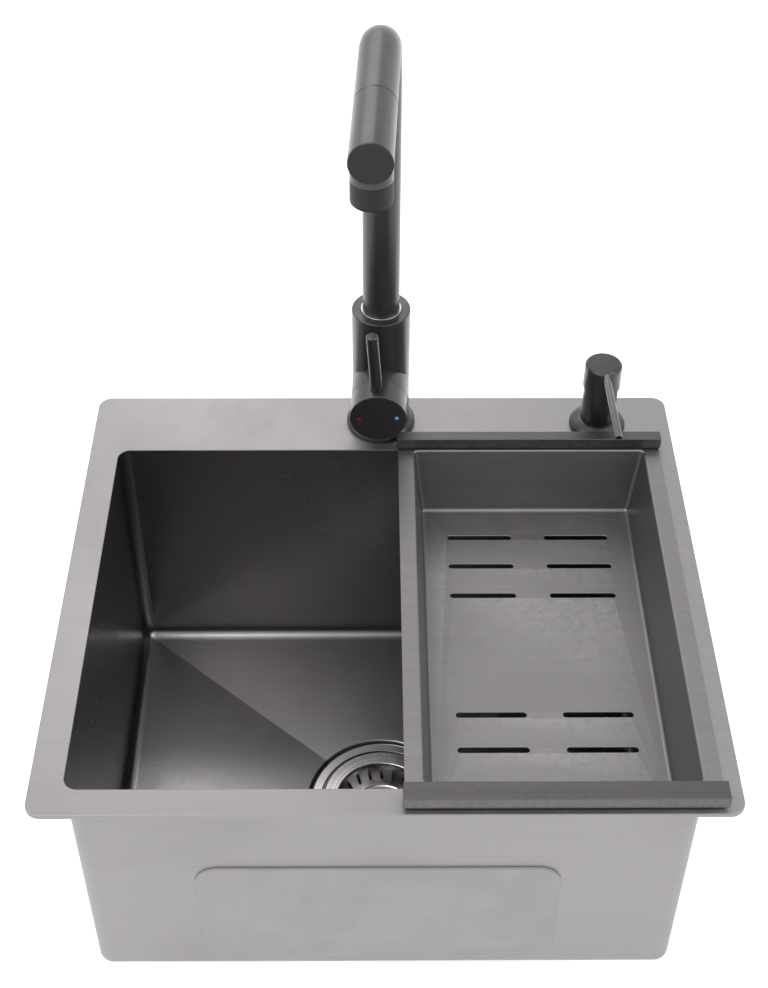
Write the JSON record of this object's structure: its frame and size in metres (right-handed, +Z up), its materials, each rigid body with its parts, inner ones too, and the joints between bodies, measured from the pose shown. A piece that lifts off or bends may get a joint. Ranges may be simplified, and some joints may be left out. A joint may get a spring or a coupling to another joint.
{
  "type": "kitchen sink",
  "caption": "Drop-in kitchen sink with a pull-out mixer tap, a deck soap dispenser, a basket strainer and a drain tray that slides across the bowl on the rim.",
  "frame": {"origin": "centre of the rim plate's outline, on the plane of its underside, 1 mm above the worktop's top", "axes": "+X to the right as seen by someone at the sink, +Y towards the tap deck at the back, +Z up"},
  "size_m": [0.45, 0.4, 0.6293],
  "materials": {
    "brushed_pale_steel": "satin, brushed across the rim's width",
    "coated_dark_steel": "dark nano coating with a fine brushed grain, semi-gloss",
    "brushed_dark_steel": "dark grey coating over a fine brushed grain",
    "sound_pad": "smooth matt pad, grey",
    "polished_steel": "bright polished stainless",
    "plain_steel": "plain stainless",
    "turned_brass": "turned",
    "tap_black": "gunmetal black coating, satin",
    "nozzle_plastic": "black, satin",
    "aerator_plastic": "grey, matt",
    "grey_plastic": "grey, matt",
    "ivory_plastic": "off-white, matt",
    "bottle_plastic": "milky polyethylene, matt",
    "black_rubber": "matt black",
    "hose_nylon": "braided nylon sleeve",
    "ceramic": "lapped ceramic disc",
    "red_mark": "red enamel dot",
    "blue_mark": "light blue enamel dot"
  },
  "bodies": {
    "sink": {"deck_plate": "brushed_pale_steel", "rim_seal": "black_rubber", "bowl": "coated_dark_steel", "front_sound_pad": "sound_pad", "side_sound_pads": "sound_pad", "rear_sound_pad": "sound_pad", "floor_sound_pads": "sound_pad", "strainer_body": "polished_steel", "strainer_gasket": "black_rubber", "strainer_washer": "black_rubber", "friction_ring": "ivory_plastic", "strainer_locknut": "grey_plastic", "tap_gasket": "black_rubber", "tap_base": "tap_black", "tap_body": "tap_black", "tap_shank": "turned_brass", "shank_washer": "black_rubber", "shank_clamp": "plain_steel", "shank_nut": "turned_brass", "cartridge_body": "ivory_plastic", "fixed_disc": "ceramic", "cartridge_nut": "turned_brass", "spout_bush": "polished_steel", "dispenser_washers": "black_rubber", "dispenser_flange": "tap_black", "dispenser_collar": "tap_black", "dispenser_nut": "grey_plastic", "soap_bottle": "bottle_plastic", "pump_barrel": "ivory_plastic", "barrel_cap": "ivory_plastic", "pump_spring": "plain_steel", "dip_tube": "ivory_plastic"},
    "basket": {"strainer_basket": "polished_steel", "basket_knob": "polished_steel", "basket_stopper": "black_rubber"},
    "tray": {"tray_pan": "brushed_dark_steel", "tray_front_rail": "brushed_dark_steel", "tray_rear_rail": "brushed_dark_steel", "tray_glides": "black_rubber"},
    "mixer": {"cartridge_carrier": "ivory_plastic", "moving_disc": "ceramic", "stem_pin": "plain_steel"},
    "handle": {"handle_cap": "tap_black", "pin_lever": "tap_black", "cartridge_stem": "plain_steel", "cap_screw": "plain_steel", "hot_mark": "red_mark", "cold_mark": "blue_mark"},
    "spout": {"spout_tube": "tap_black", "spout_seals": "black_rubber", "docking_sleeve": "grey_plastic", "spray_hose": "hose_nylon", "hose_coupling": "turned_brass"},
    "spray": {"spray_body": "tap_black", "spray_end_cap": "tap_black", "spray_nozzle": "nozzle_plastic", "aerator": "aerator_plastic"},
    "plunger": {"pump_stem": "ivory_plastic"},
    "pump_head": {"pump_head": "tap_black", "soap_nozzle": "tap_black"}
  },
  "joints": [
    {"name": "tray_slide", "type": "slide", "parent": "sink", "child": "tray", "axis": [-1, 0, 0], "range_m": [0, 0.225]},
    {"name": "basket_lift", "type": "slide", "parent": "sink", "child": "basket", "axis": [0, 0, 1], "range_m": [0, 0.1]},
    {"name": "handle_turn", "type": "hinge", "parent": "sink", "child": "mixer", "pos_m": [-0.00233, 0.14743, 0.05], "axis": [-0.0454, -0.999, 0], "range_deg": [-45, 45]},
    {"name": "handle_lift", "type": "hinge", "parent": "mixer", "child": "handle", "pos_m": [-0.00233, 0.14743, 0.05], "axis": [0.9965, -0.0453, 0.0698], "range_deg": [0, 20]},
    {"name": "spout_swivel", "type": "hinge", "parent": "sink", "child": "spout", "pos_m": [-0.0012, 0.1723, 0.2], "axis": [0, 0, 1], "range_deg": [-90, 90]},
    {"name": "spray_pull", "type": "slide", "parent": "spout", "child": "spray", "axis": [-0.0454, -0.999, 0], "range_m": [0, 0.2]},
    {"name": "pump_press", "type": "slide", "parent": "sink", "child": "plunger", "axis": [0, 0, -1], "range_m": [0, 0.014], "stiffness_N_per_m": 400, "springref_m": -0.01, "deforming": ["pump_spring"]},
    {"name": "pump_swivel", "type": "hinge", "parent": "plunger", "child": "pump_head", "pos_m": [0.1684, 0.168, 0.055], "axis": [0, 0, 1], "continuous": true}
  ]
}
